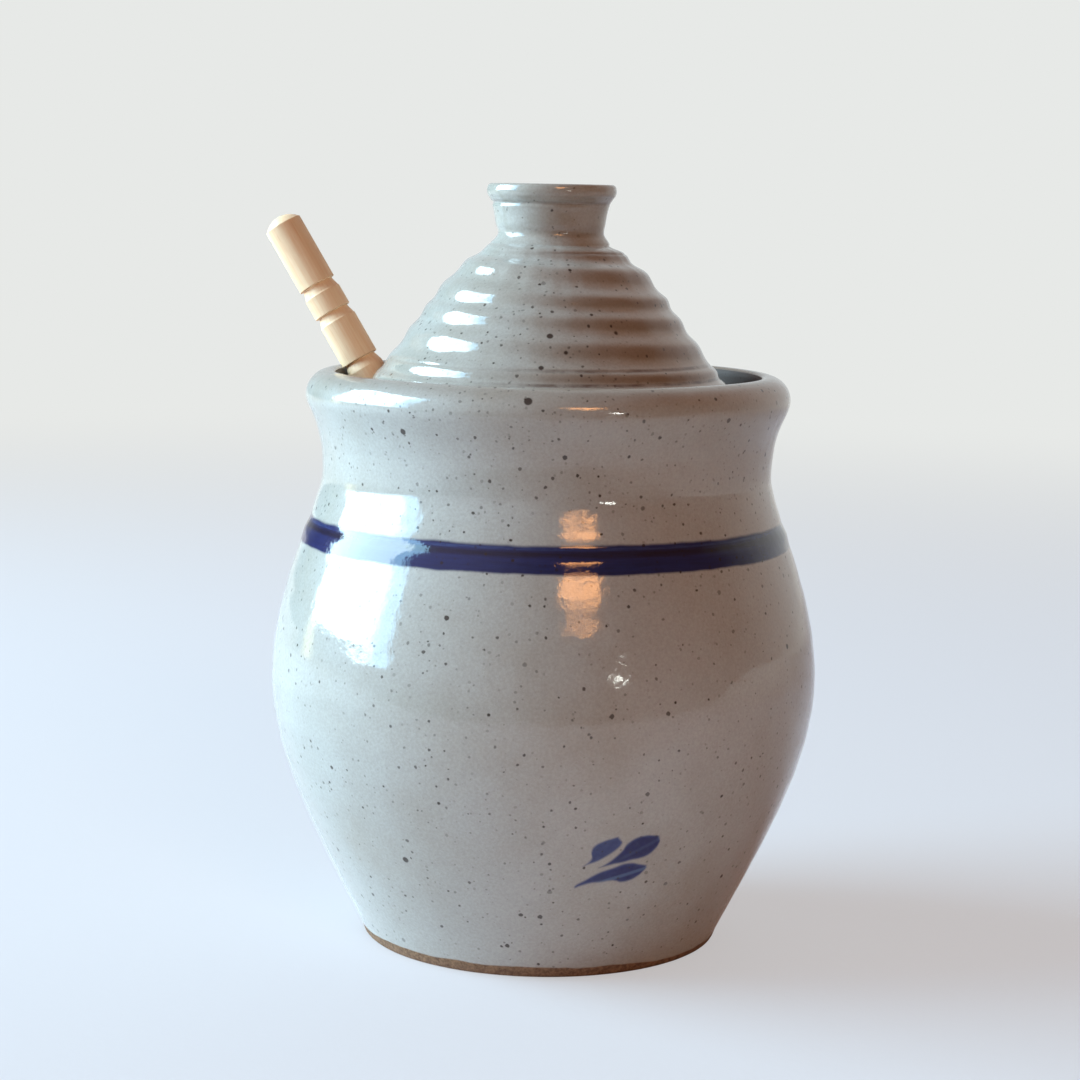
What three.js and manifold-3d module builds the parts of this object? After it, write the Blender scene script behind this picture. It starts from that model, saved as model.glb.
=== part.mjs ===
// A stoneware honey pot: a thrown jar, its loose lid and a turned wooden dipper that leans in it.
// Millimetres, +Z up. The origin is the middle of the jar's flat underside.
// Outlines are drawn in a half plane: x is the distance from the piece's own axis, y the height.
import * as THREE from 'three';
import { mergeVertices } from 'three/addons/utils/BufferGeometryUtils.js';
import Module from 'manifold-3d';

const wasm = await Module();
wasm.setup();

// Clearances
const fitGap = 0.3; // between two pieces that rest on each other
const lidSideGap = 0.8; // round the lid's edge, inside the rim
const notchGap = 1.1; // round the dipper's handle, in the lid's notch

// Jar, outside
const jarHeight = 118.1; // to the crest of the rim
const footRadius = 36.95;
const footBevel = 0.8;
const bellyRadius = 57;
const bellyHeight = 54.8;
const neckRadius = 46.65; // the narrowest place
const neckDrop = 20.9; // from the crest down to the narrowest place
const rimFlare = 3.6; // how far the rim stands out past the neck
const rimDrop = 5; // from the crest down to the rim's widest place
const rimRoll = 4.85; // from the rim's widest place in to the crest

// Jar, inside
const jarWall = 5;
const floorThickness = 6.5;
const floorFillet = 9;
const lipRoll = 1.8; // radius of the rim's inner shoulder
const lipDraft = 0.6; // the rim's inner wall narrows by this much down to the gallery
const galleryDrop = 10.1; // from the crest down to the ledge that carries the lid
const ledgeWidth = 4;
const ledgeLip = 2.2; // height of the ledge's upright inner edge
const ledgeBevel = 0.6;

// Lid
const lidHeight = 48.3;
const lidWall = 4.5;
const lidEdgeHeight = 1.3; // the upright edge under the cone
const lidEdgeBevel = 0.5;
const ridgeHeight = 0.5;
const ridgeInset = 0.28; // the grooves lie this far inside the cone's mean line
const knobHeight = 10.2;
const knobFootRadius = 10.9;
const knobLipRadius = 13.3;
const knobDish = 1.5; // depth of the hollow in the knob's top
const shoulderRise = 1.8; // from the top of the cone to the knob's foot
const shoulderReach = 1.3; // from the knob's foot out to the top of the cone

// Dipper
const dipperLength = 162.5;
const dipperReach = 28.5; // from the jar's axis to where the dipper's own axis meets the floor
const dipperSide = 170; // degrees round the jar from +X, where the handle leaves it
const handleRadius = 4;
const tipHeight = 2.3; // low dome on the handle's end
const tipRadius = 1.6; // flat middle of that dome
const gripLength = 14.3;
const beadLength = 4.35;
const bandLength = 9.2;
const collarLength = 7;
const grooveLength = 2.2;
const grooveDepth = 0.65;
const grooveStep = 0.25; // the steep upper side of a handle groove
const shaftTopRadius = 3.6;
const shaftEndRadius = 3.1;
const collarTaper = 2;
const headRadius = 11.5;
const headLength = 38;
const headCoreRadius = 5;
const headSlot = 2.4; // width of a groove between two discs
const headNose = 1.6; // bevel of the head's blunt end

// Facets
const potSegments = 60;
const dipperSegments = 24;
const rollSteps = 4;
const lipSteps = 2;
const filletSteps = 3;
const coneSteps = 40;
const insideSteps = 10;
const ribSteps = 3;
const slotSteps = 12;

const at = (x, y) => new THREE.Vector2(x, y);
const mix = THREE.MathUtils.lerp;

// Places that several outlines share
const neckHeight = jarHeight - neckDrop;
const rimRadius = neckRadius + rimFlare;
const rimHeight = jarHeight - rimDrop;
const crestRadius = rimRadius - rimRoll;
const lipCentre = at(crestRadius, jarHeight - lipRoll);
const lipRadius = crestRadius - lipRoll;
const ledgeHeight = jarHeight - galleryDrop;
const galleryRadius = lipRadius - lipDraft;
const ledgeRadius = galleryRadius - ledgeWidth;
const lidBottom = ledgeHeight + fitGap;
const lidRadius = galleryRadius - lidSideGap;
const lidTop = lidBottom + lidHeight;
const knobFoot = lidTop - knobHeight;

// Smooth line between two points; each pull is the way and the distance that it leaves its end.
function smoothLine(start, startPull, endPull, end, steps) {
  const leave = start.clone().add(startPull);
  const arrive = end.clone().add(endPull);
  return new THREE.CubicBezierCurve(start, leave, arrive, end).getPoints(steps);
}

function quarterRound(centre, width, height, fromAngle, toAngle, steps) {
  const arc = new THREE.EllipseCurve(centre.x, centre.y, width, height, fromAngle, toAngle);
  return arc.getPoints(steps);
}

// The line moved towards the axis, square to itself. It has to run upwards.
function insetLine(line, distance) {
  return line.map((point, i) => {
    const before = line[Math.max(i - 1, 0)];
    const after = line[Math.min(i + 1, line.length - 1)];
    const along = after.clone().sub(before).normalize();
    return at(point.x - along.y * distance, point.y + along.x * distance);
  });
}

function radiusAt(line, height) {
  const i = Math.max(line.findIndex((point) => point.y >= height), 1);
  const low = line[i - 1];
  const high = line[i];
  return mix(low.x, high.x, (height - low.y) / (high.y - low.y));
}

// A closed body: the outline turned about its own axis, which stands along Z.
function turned(outline, segments) {
  return new THREE.LatheGeometry(outline, segments).rotateX(Math.PI / 2);
}

function solidOf(geometry) {
  const bare = new THREE.BufferGeometry();
  bare.setAttribute('position', geometry.getAttribute('position'));
  if (geometry.index) bare.setIndex(geometry.index);
  const merged = mergeVertices(bare);
  const corners = merged.index.array;
  const triangles = [];
  for (let i = 0; i < corners.length; i += 3) {
    const [a, b, c] = corners.slice(i, i + 3);
    if (a !== b && b !== c && c !== a) triangles.push(a, b, c);
  }
  return new wasm.Manifold(new wasm.Mesh({
    numProp: 3,
    vertProperties: new Float32Array(merged.getAttribute('position').array),
    triVerts: new Uint32Array(triangles),
  }));
}

function geometryOf(solid) {
  const mesh = solid.getMesh();
  const geometry = new THREE.BufferGeometry();
  geometry.setAttribute('position', new THREE.BufferAttribute(mesh.vertProperties, 3));
  geometry.setIndex(new THREE.BufferAttribute(mesh.triVerts, 1));
  geometry.computeVertexNormals();
  return geometry;
}

// The jar's bulging side, from the foot up over the belly to the neck.
function jarSide() {
  const foot = at(footRadius, 0);
  const belly = at(bellyRadius, bellyHeight);
  const neck = at(neckRadius, neckHeight);
  const rise = neckHeight - bellyHeight;
  const lowShares = { out: 0.4, up: 0.308, belly: 0.332, steps: 8 };
  const highShares = { belly: 0.427, neck: 0.146, steps: 7 };
  const footPull = at((bellyRadius - footRadius) * lowShares.out, bellyHeight * lowShares.up);
  const bellyLowPull = at(0, -bellyHeight * lowShares.belly);
  const bellyHighPull = at(0, rise * highShares.belly);
  const neckPull = at(0, -rise * highShares.neck);
  const low = smoothLine(foot, footPull, bellyLowPull, belly, lowShares.steps);
  const high = smoothLine(belly, bellyHighPull, neckPull, neck, highShares.steps);
  return [...low, ...high.slice(1)];
}

// From the neck out to the rolled rim, over its crest and down inside to the lid's ledge.
function rimLine() {
  const rise = rimHeight - neckHeight;
  const flareShares = { neck: 0.69, rim: 0.19, steps: 5 };
  const flare = smoothLine(
    at(neckRadius, neckHeight),
    at(0, rise * flareShares.neck),
    at(0, -rise * flareShares.rim),
    at(rimRadius, rimHeight),
    flareShares.steps,
  );
  const outerRoll = quarterRound(at(crestRadius, rimHeight), rimRoll, rimDrop, 0, Math.PI / 2, rollSteps);
  const innerRoll = quarterRound(lipCentre, lipRoll, lipRoll, Math.PI / 2, Math.PI, lipSteps);
  return [...flare.slice(1), ...outerRoll.slice(1), ...innerRoll.slice(1)];
}

// The ledge, the inner wall and the floor, from the gallery down to the axis.
function jarInside() {
  const innerSide = insetLine(jarSide(), jarWall);
  const innerNeck = innerSide[innerSide.length - 1];
  const ledgeFoot = at(ledgeRadius, ledgeHeight - ledgeLip);
  const halfDrop = (ledgeFoot.y - innerNeck.y) / 2;
  const underLedge = smoothLine(ledgeFoot, at(0, -halfDrop), at(0, halfDrop), innerNeck, filletSteps);
  const filletTop = floorThickness + floorFillet;
  const wall = innerSide.filter((point) => point.y > filletTop + floorFillet / 2).reverse();
  const corner = at(radiusAt(innerSide, floorThickness), floorThickness);
  const fillet = new THREE.QuadraticBezierCurve(
    at(radiusAt(innerSide, filletTop), filletTop),
    corner,
    at(corner.x - floorFillet, floorThickness),
  ).getPoints(filletSteps);
  return [
    at(galleryRadius, ledgeHeight),
    at(ledgeRadius + ledgeBevel, ledgeHeight),
    at(ledgeRadius, ledgeHeight - ledgeBevel),
    ...underLedge,
    ...wall.slice(1),
    ...fillet,
    at(0, floorThickness),
  ];
}

function jarGeometry() {
  const side = jarSide();
  const underside = [at(0, 0), at(footRadius - footBevel, 0), at(radiusAt(side, footBevel), footBevel)];
  return turned([...underside, ...side.slice(1), ...rimLine(), ...jarInside()], potSegments);
}

// The cone's mean line, from the lid's edge up to the knob's shoulder.
function coneLine(steps) {
  const edge = at(lidRadius, lidBottom + lidEdgeHeight);
  const top = at(knobFootRadius + shoulderReach, knobFoot - shoulderRise);
  const span = top.clone().sub(edge);
  const pullShares = { edge: at(0.647, 0.674), top: at(-0.4, -0.217) };
  return smoothLine(edge, pullShares.edge.multiply(span), pullShares.top.multiply(span), top, steps);
}

// The cone's ridges, left by the thrower's fingers: round ribs between narrow grooves.
function ribbedCone() {
  const grooveShares = [0, 0.103, 0.203, 0.289, 0.374, 0.54, 0.657, 0.797, 0.94];
  const line = coneLine(coneSteps);
  const grooveLine = insetLine(line, ridgeInset);
  const ribLine = insetLine(line, ridgeInset - ridgeHeight);
  const bottom = line[0].y;
  const rise = line[line.length - 1].y - bottom;
  const points = [];
  for (let rib = 0; rib < grooveShares.length - 1; rib += 1) {
    for (let step = 0; step < ribSteps; step += 1) {
      const share = mix(grooveShares[rib], grooveShares[rib + 1], step / ribSteps);
      const height = bottom + rise * share;
      const bulge = Math.sin((Math.PI * step) / ribSteps);
      points.push(at(mix(radiusAt(grooveLine, height), radiusAt(ribLine, height), bulge), height));
    }
  }
  const lastGroove = bottom + rise * grooveShares[grooveShares.length - 1];
  points.push(at(radiusAt(grooveLine, lastGroove), lastGroove), line[line.length - 1]);
  return points.slice(1);
}

function knobLine() {
  const flare = knobLipRadius - knobFootRadius;
  const outlineShares = [
    at(0, 0), at(0.12, 0.24), at(0.3, 0.42), at(0.55, 0.6),
    at(0.86, 0.72), at(1, 0.84), at(0.92, 0.95), at(0.55, 1),
  ];
  const dishEdgeShare = 0.5;
  const side = outlineShares.map((s) => at(knobFootRadius + flare * s.x, knobFoot + knobHeight * s.y));
  const brim = side[side.length - 1].x - knobDish;
  const dishMiddle = lidTop - knobDish;
  return [...side, at(brim, mix(lidTop, dishMiddle, dishEdgeShare)), at(0, dishMiddle)];
}

function lidInside() {
  const line = insetLine(coneLine(insideSteps), lidWall);
  const top = line[line.length - 1];
  const apex = at(0, top.y + lidWall / 2);
  const dome = new THREE.QuadraticBezierCurve(apex, at(top.x / 2, apex.y), top).getPoints(filletSteps);
  const wall = line.filter((point) => point.y > lidBottom + lidEdgeHeight).reverse();
  return [...dome, ...wall.slice(1), at(radiusAt(line, lidBottom), lidBottom)];
}

function lidGeometry() {
  const edge = [at(lidRadius - lidEdgeBevel, lidBottom), at(lidRadius, lidBottom + lidEdgeBevel)];
  const outline = [...lidInside(), ...edge, at(lidRadius, lidBottom + lidEdgeHeight)];
  const body = solidOf(turned([...outline, ...ribbedCone(), ...knobLine()], potSegments));
  return geometryOf(body.subtract(solidOf(notchCutter())));
}

// The dipper's outline from the head's blunt end up to the tip of the handle, along its own axis.
function dipperLine() {
  const discShares = [0.72, 0.88, 0.97, 1, 0.96, 0.85, 0.66];
  const discPitch = (headLength + headSlot) / discShares.length;
  const discLength = discPitch - headSlot;
  const points = [at(0, 0)];
  discShares.forEach((share, i) => {
    const low = i * discPitch;
    const high = low + discLength;
    const radius = headRadius * share;
    if (i > 0) points.push(at(headCoreRadius, low), at(radius, low));
    else points.push(at(radius - headNose, 0), at(radius, headNose));
    points.push(at(radius, high));
    if (i < discShares.length - 1) points.push(at(headCoreRadius, high));
  });
  points.push(at(shaftEndRadius, headLength), ...handleLine());
  return points;
}

// The handle from its collar up: three plain stretches, each over a groove with a steep upper side.
function handleLine() {
  const top = dipperLength - tipHeight;
  const grooveRadius = handleRadius - grooveDepth;
  const domeShares = { in: 0.4, up: 0.65 };
  const domeRadius = mix(handleRadius, tipRadius, domeShares.in);
  const points = [at(tipRadius, dipperLength), at(domeRadius, top + tipHeight * domeShares.up)];
  let height = top;
  for (const stretch of [gripLength, beadLength, bandLength]) {
    points.push(at(handleRadius, height));
    height -= stretch;
    points.push(at(handleRadius, height), at(grooveRadius, height - grooveStep));
    height -= grooveLength;
  }
  points.push(at(handleRadius, height), at(handleRadius, height - collarLength));
  points.push(at(shaftTopRadius, height - collarLength - collarTaper));
  return [...points.reverse(), at(0, dipperLength)];
}

function dipperGeometry() {
  return turned(dipperLine(), dipperSegments);
}

// The notch is a slot, open outwards, that runs along the leaning handle.
function notchCutter() {
  const radius = handleRadius + notchGap;
  const slot = new THREE.Shape();
  slot.moveTo(lidRadius, -radius);
  slot.lineTo(lidRadius, radius);
  slot.lineTo(0, radius);
  slot.absarc(0, 0, radius, Math.PI / 2, (Math.PI * 3) / 2, false);
  slot.lineTo(lidRadius, -radius);
  const run = { depth: dipperLength, bevelEnabled: false, curveSegments: slotSteps };
  return new THREE.ExtrudeGeometry(slot, run).applyMatrix4(dipperPlace());
}

// The lean from upright at which the dipper's axis passes a place on the jar at this distance.
function leanPast(place, distance) {
  const axisFoot = at(-dipperReach, floorThickness);
  const toPlace = place.clone().sub(axisFoot);
  return Math.atan2(toPlace.x, toPlace.y) - Math.asin(distance / toPlace.length());
}

// The dipper stands with its head on the floor and leans on the rim's inner shoulder,
// or on the ledge where it meets that first.
function dipperPlace() {
  const side = THREE.MathUtils.degToRad(dipperSide);
  const handleSide = handleRadius + fitGap;
  const shoulderLean = leanPast(lipCentre, lipRoll + handleSide);
  const ledgeLean = leanPast(at(ledgeRadius, ledgeHeight), handleSide);
  const lean = Math.min(shoulderLean, ledgeLean);
  const depthOf = (point) => point.y * Math.cos(lean) - point.x * Math.sin(lean);
  const deepest = Math.min(...dipperLine().map(depthOf));
  const endHeight = floorThickness + fitGap - deepest;
  const endRadius = (endHeight - floorThickness) * Math.tan(lean) - dipperReach;
  const place = new THREE.Matrix4().makeRotationZ(side);
  place.multiply(new THREE.Matrix4().makeTranslation(endRadius, 0, endHeight));
  return place.multiply(new THREE.Matrix4().makeRotationY(lean));
}

function piece(name, geometry, colour, roughness) {
  const material = new THREE.MeshStandardMaterial({ color: colour, roughness, metalness: 0 });
  const mesh = new THREE.Mesh(geometry, material);
  mesh.name = name;
  return mesh;
}

const pot = new THREE.Group();
pot.add(piece('jar', jarGeometry(), 0xa9a69e, 0.25));
pot.add(piece('lid', lidGeometry(), 0xa39d8f, 0.25));

const leaning = new THREE.Group();
dipperPlace().decompose(leaning.position, leaning.quaternion, leaning.scale);
leaning.add(piece('dipper', dipperGeometry(), 0xe2c39a, 0.65));
pot.add(leaning);

export default pot;
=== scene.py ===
"""The looks of a stoneware honey pot: a thrown jar, its loose lid and a turned wooden dipper."""
import math

import bmesh
import bpy
from mathutils import Matrix, Vector, noise


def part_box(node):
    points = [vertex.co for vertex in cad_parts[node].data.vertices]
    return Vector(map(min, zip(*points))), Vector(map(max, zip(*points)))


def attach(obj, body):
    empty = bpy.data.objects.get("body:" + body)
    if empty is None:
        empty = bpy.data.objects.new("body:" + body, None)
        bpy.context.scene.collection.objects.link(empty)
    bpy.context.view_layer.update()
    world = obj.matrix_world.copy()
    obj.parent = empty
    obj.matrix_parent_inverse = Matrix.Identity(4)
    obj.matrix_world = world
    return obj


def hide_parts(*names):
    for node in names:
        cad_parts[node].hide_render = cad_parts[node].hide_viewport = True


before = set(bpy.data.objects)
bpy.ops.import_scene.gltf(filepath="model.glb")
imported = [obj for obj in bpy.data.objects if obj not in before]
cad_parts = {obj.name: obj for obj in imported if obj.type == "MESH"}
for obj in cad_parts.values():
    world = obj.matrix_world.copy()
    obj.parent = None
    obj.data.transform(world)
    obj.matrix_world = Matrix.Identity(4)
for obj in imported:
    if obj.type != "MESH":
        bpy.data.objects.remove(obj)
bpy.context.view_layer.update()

MM = 0.001  # the pot's sizes are in millimetres; Blender's, and those of the stage, are in metres

jar_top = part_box("jar")[1] / MM
lid_low, lid_high = (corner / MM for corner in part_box("lid"))

# Clearances
FIT_GAP = 0.3
NOTCH_GAP = 1.1

# Jar
JAR_HEIGHT = jar_top.z
BELLY_RADIUS = jar_top.x
BELLY_HEIGHT = 54.8
FOOT_RADIUS = 36.95
FOOT_ROUND = 0.8
NECK_RADIUS = 46.65
NECK_HEIGHT = JAR_HEIGHT - 20.9
RIM_RADIUS = NECK_RADIUS + 3.6
RIM_HEIGHT = JAR_HEIGHT - 5
RIM_ROLL = 4.85
LIP_ROLL = 1.8
LIP_DRAFT = 0.6
WALL = 5
FLOOR = 6.5
FLOOR_FILLET = 9
LEDGE_HEIGHT = JAR_HEIGHT - 10.1
LEDGE_WIDTH = 4
LEDGE_LIP = 2.2
LEDGE_ROUND = 0.9
CREST_RADIUS = RIM_RADIUS - RIM_ROLL
LIP_RADIUS = CREST_RADIUS - LIP_ROLL
GALLERY_RADIUS = LIP_RADIUS - LIP_DRAFT
LEDGE_RADIUS = GALLERY_RADIUS - LEDGE_WIDTH
JAR_SEGMENTS = 256

# How far the jar's curves leave their ends, as shares of their span
FOOT_PULL = (0.4, 0.308)
BELLY_PULL_DOWN = 0.332
BELLY_PULL_UP = 0.427
NECK_PULL_DOWN = 0.146
NECK_PULL_UP = 0.69
RIM_PULL = 0.19

# Relief of the jar's thrown wall
THROWING_RINGS = ((7.3, 0.026, 1.9), (4.1, 0.007, 2.1), (2.6, 0.003, 4.0))  # spacing, depth, phase
RINGS_UNEVEN = 0.6
WALL_WAVES = ((60, 0.12, 11), (9, 0.03, 13))  # size along the wall, depth, seed

# Blue band, on a slight rise with a groove along its top
BAND_LOW = 83.0
BAND_HIGH = 88.3
BAND_RISE = 85.4
BAND_RISE_HEIGHT = 0.19
BAND_RISE_ABOVE = 0.95
BAND_RISE_BELOW = 1.5
BAND_GROOVE = 87.9
BAND_GROOVE_DEPTH = 0.16
BAND_GROOVE_WIDTH = 0.85
BAND_DRIFT = 0.12
# Heights of a painted line of shade and a painted highlight line in the band
BAND_SHADE_LINE = 86.7
BAND_HIGHLIGHT_LINE = 87.7

# Lid
LID_RADIUS = lid_high.x
LID_BOTTOM = lid_low.z
LID_TOP = lid_high.z
LID_WALL = 4.5
LID_EDGE = 1.3
LID_EDGE_ROUND = 0.5
LID_SEGMENTS = 272
LID_CORE_SHARE = 0.62
LID_CORE_RISE = 11
KNOB_FOOT = LID_TOP - 10.2
KNOB_FOOT_RADIUS = 10.9
KNOB_LIP_RADIUS = 13.3
KNOB_DISH = 1.5
# From the knob's foot outwards and up to its lip and top, as shares of its flare and rise
KNOB_SHARES = (
    (0, 0), (0.1, 0.22), (0.24, 0.42), (0.45, 0.6), (0.7, 0.7), (0.92, 0.77),
    (1, 0.84), (0.985, 0.905), (0.92, 0.957), (0.8, 0.985), (0.6, 0.993),
)
KNOB_LINE = 3.9  # from the top down to the line under the knob's lip
KNOB_LINE_WIDTH = 0.4
KNOB_LINE_DEPTH = 0.45
KNOB_SWELL = 0.35
KNOB_SWELL_SIDE = math.radians(205)
CONE_TOP_RADIUS = KNOB_FOOT_RADIUS + 1.3
CONE_TOP = KNOB_FOOT - 1.8
CONE_SLOPE = math.radians(35)  # of the way square to the cone's face
CONE_EDGE_PULL = (0.647, 0.674)
CONE_TOP_PULL = (0.4, 0.217)
RIDGE_HEIGHT = 0.44
RIDGE_INSET = 0.25
RIDGE_LOPSIDED = 0.2
RIDGE_UNEVEN = 0.3
# Crests at the front, over the lid's underside
RIDGE_RISES = (-5.0, -1.6, 1.4, 4.8, 8.5, 11.5, 17.1, 22.0, 26.1, 31.4, 35.1, 39.0)
# From and to a rise over the underside, share of the ridge's height before and after
RIDGE_CHANGES = ((9, 15, 0.65, 1), (22, 29, 1, 1.35))
# Rise over the underside, width, depth, middle of its reach in degrees from the front, reach, darkness
# of the brown painted in it: iron staining and painted shade
TOOL_LINES = (
    (12.1, 0.22, 0.14, 10, 0.7, 0.65),
    (9.4, 0.25, 0.07, 45, 0.75, 0.8),
    (34.4, 0.2, 0.14, 50, 0.3, 0.25),
    # Under the knob's lip: no cut, only a painted line of shade
    (LID_TOP - LID_BOTTOM - KNOB_LINE, 0.2, 0, 0, 1, 0.3),
)
TOOL_LINE_LEAN = 0.35
TOOL_LINE_DRIFT = 0.2
LID_WAVES = 0.07
NOTCH_ROUND = 1.2
NOTCH_START = 0.55  # as a share of the dipper's length
NOTCH_STEP = 0.5
NOTCH_ROWS = 90

# How brown the lid turns, where its glaze runs thin and with painted shade: 1 is brownest
BROWN_PLAIN = 0.4
BROWN_LEAD = 0.18  # in turns of the ridge, from its crest down to where the brown is strongest
KNOB_FOOT_BROWN = 0.5
KNOB_FOOT_BROWN_WIDTH = 1.3

# Dipper, along its own axis from the head's blunt end
DIPPER_LENGTH = 162.1
DIPPER_REACH = 28.5  # from the jar's axis to where the dipper's own axis meets the floor
DIPPER_SIDE = math.radians(170)
DIPPER_SEGMENTS = 96
HANDLE_RADIUS = 4
TIP_HEIGHT = 1.9
TIP_SHARES = ((0, 1), (0.25, 0.95), (0.45, 0.83), (0.65, 0.62), (0.82, 0.36), (1, 0))
STRETCHES = (14.3, 4.35, 9.2)  # between the handle's grooves, from the tip down
COLLAR = 7
COLLAR_TAPER = 2
GROOVE = 2.2
GROOVE_DEPTH = 0.7
GROOVE_STEP = 0.12
GROOVE_BURR = 0.14
SHAFT_TOP_RADIUS = 3.6
SHAFT_END_RADIUS = 3.1
HEAD_RADIUS = 11.5
HEAD_LENGTH = 38
HEAD_CORE_RADIUS = 5
HEAD_SLOT = 2.4
HEAD_NOSE = 1.6
DISC_SHARES = (0.72, 0.88, 0.97, 1, 0.96, 0.85, 0.66)
TURNED_ROUND = 0.06
TURNED_HOLD = 0.05

# Sprig: three brush strokes, in millimetres round and up the jar's lower front. The profiles are the
# distances from a stroke's middle line to its upper and lower edge, at shares of its length.
SPRIG_RADIUS = 49.5
STROKE_WIDTH = 3.0
STREAK_SIDE = -0.35
SPRIG = (
    {
        "base": (8.2, 26.0),
        "tip": (14.7, 31.9),
        "upper": ((0, 0), (0.23, 0.15), (0.37, 1.55), (0.5, 2.1), (0.7, 1.8), (0.88, 1.1), (1, 0.6)),
        "lower": ((0, 0), (0.14, 0.4), (0.3, 1.0), (0.52, 1.4), (0.8, 1.6), (0.93, 1.4), (1, 0.7)),
        "strength": 0.4,
        "streak": 0.0,
    },
    {
        "base": (11.4, 25.6),
        "tip": (22.8, 31.5),
        "upper": ((0, 0), (0.14, 0.15), (0.28, 0.6), (0.42, 1.3), (0.56, 2.35), (0.68, 2.5), (0.8, 2.1),
                  (0.92, 1.2), (1, 0.4)),
        "lower": ((0, 0), (0.1, 0.35), (0.22, 0.75), (0.37, 1.4), (0.5, 1.8), (0.62, 2.35), (0.74, 2.6),
                  (0.87, 2.2), (0.96, 1.4), (1, 0.5)),
        "strength": 0.95,
        "streak": 0.2,
    },
    {
        "base": (7.0, 21.3),
        "tip": (21.5, 25.2),
        "upper": ((0, 0.2), (0.04, 0.6), (0.16, 1.1), (0.27, 1.6), (0.4, 2.0), (0.55, 2.1), (0.69, 2.3),
                  (0.78, 2.05), (0.89, 1.2), (1, 0.3)),
        "lower": ((0, 0.2), (0.1, 0.0), (0.22, 0.0), (0.35, 0.4), (0.5, 0.75), (0.57, 1.2), (0.64, 1.85),
                  (0.75, 2.05), (0.86, 1.7), (0.95, 0.95), (1, 0.3)),
        "strength": 0.8,
        "streak": 0.75,
    },
)

# Iron specks: cell, radius, spread of the radius, share of cells that hold one, faintest and darkest
SPECKS = (
    (1.5, 0.20, 0.16, 0.6, 0.1, 0.5),
    (1.85, 0.26, 0.20, 0.72, 0.25, 0.9),
    (3.9, 0.40, 0.24, 0.6, 0.4, 0.9),
)
LARGE_SPECKS = (9.5, 0.52, 0.24, 0.12)
LARGE_DARKNESS = 0.9
SPECK_WARP = 0.35  # how far a speck's outline strays from round
SPECK_WARP_GRAIN = 0.7
SPECK_EDGE = (-0.12, 0.10)  # where a speck's edge starts and stops fading
# Single specks: angle from the front in degrees, height, radius, distance from the axis
SPOT_BLUR = 0.15
JAR_SPECKS = (
    (-4.5, 115.8, 0.8, 49.4),
    (69.3, 103.2, 0.5, 47.1),
    (-32.8, 24.6, 0.7, 49.0),
    (29.3, 1.4, 0.5, 37.5),
    (36, 66, 0.5, 56.2),
)
LID_SPECKS = (
    (0.1, 127.2, 0.75, 28.7),
    (28.0, 127.8, 0.6, 28.2),
    (-2.7, 121.2, 0.6, 33.1),
    (6.0, 124.0, 0.5, 31.0),
)

# Bumps of the surfaces: height, strength
GLAZE_BUMP = (0.15, 0.45)
WOOD_BUMP = (0.03, 0.15)
CLOTH_BUMP = (0.2, 0.25)

# Camera, in millimetres and degrees
SENSOR_WIDTH = 36
LENS = 84.06
CAMERA_PLACE = (-1.19, -522.4, 153.4)
CAMERA_DOWN = 7.69
CAMERA_ROLL = 1.007

# Stage, in metres
FLOOR_RINGS = (0.15, 0.4, 1.0, 3.0)
FLOOR_SPOKES = 64
FLOOR_FADE = (0.25, 1.3)  # from the pot, where the floor turns into the backdrop
TABLE_EDGE = -0.25  # the pot mirrors a dim room past it
EDGE_BLUR = 0.1
# The window and what shows in it, in one plane on the left: forward, up, width, height, watts, tint
WINDOW_SIDE = -1.0
WINDOW_LAMPS = {
    "window": (0.112, 0.58, 0.795, 0.84, 40, (0.57, 0.84, 1.0)),
    "sky_strip": (-0.367, 0.58, 0.155, 0.84, 4.6, (0.36, 0.72, 1.0)),
    "garden": (0.47, 0.09, 0.16, 0.15, 0.2, (1.0, 0.9, 0.4)),
}
# A warm lamp in parts: degrees round to the right, degrees up, width, height, watts
WARM_TINT = (1.0, 0.43, 0.14)
WARM_DISTANCE = 1.6
WARM_AIM = Vector((0, 0, 0.085))
WARM_LAMPS = {
    "warm_top": (17.4, 29.2, 0.47, 0.12, 3.4),
    "warm_right": (21.0, 25.4, 0.22, 0.065, 0.7),
    "warm_left": (12.8, 24.6, 0.17, 0.06, 0.45),
    "warm_low": (15.0, 21.2, 0.28, 0.04, 0.36),
    "warm_low_right": (20.5, 22.0, 0.13, 0.05, 0.18),
}
WHITE_PLACE = (0.82, -1.36, 0.27)
WHITE_AIM = (0, 0, 0.07)
WHITE_LAMP = (0.08, 0.13, 1.1, (0.95, 1.0, 0.93))
# Light from the room: degrees round to the right, degrees up, strength of red, green and blue
ROOM_LIGHT = (
    (-66, 15, (0.47, 0.44, 0.49)),
    (110, 12, (0.04, 0.01, 0.0)),
    (155, 12, (0.74, 0.79, 0.80)),
    (0, 90, (0.13, 0.04, 0.03)),
)


def at(x, y):
    return Vector((x, y))


def mix(a, b, share):
    return a + (b - a) * share


def smooth(low, high, value):
    share = min(max((value - low) / (high - low), 0), 1)
    return share * share * (3 - 2 * share)


def bell(distance, width):
    """1 at no distance, fading out over about the width."""
    return math.exp(-(distance / width) ** 2)


def direction(turn, rise):
    """The way from the pot, in degrees round from the front towards the right and degrees up."""
    side, up = math.radians(turn), math.radians(rise)
    return Vector((math.sin(side) * math.cos(up), -math.cos(side) * math.cos(up), math.sin(up)))


def colour(red, green, blue):
    """A colour from its screen values of 0 to 255."""
    def linear(value):
        value /= 255
        return value / 12.92 if value <= 0.04045 else ((value + 0.055) / 1.055) ** 2.4
    return (linear(red), linear(green), linear(blue), 1)


# Glaze and clay
GREY = colour(168, 165, 158)
WARM_GREY = colour(160, 153, 142)
PALE = colour(176, 174, 168)
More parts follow.
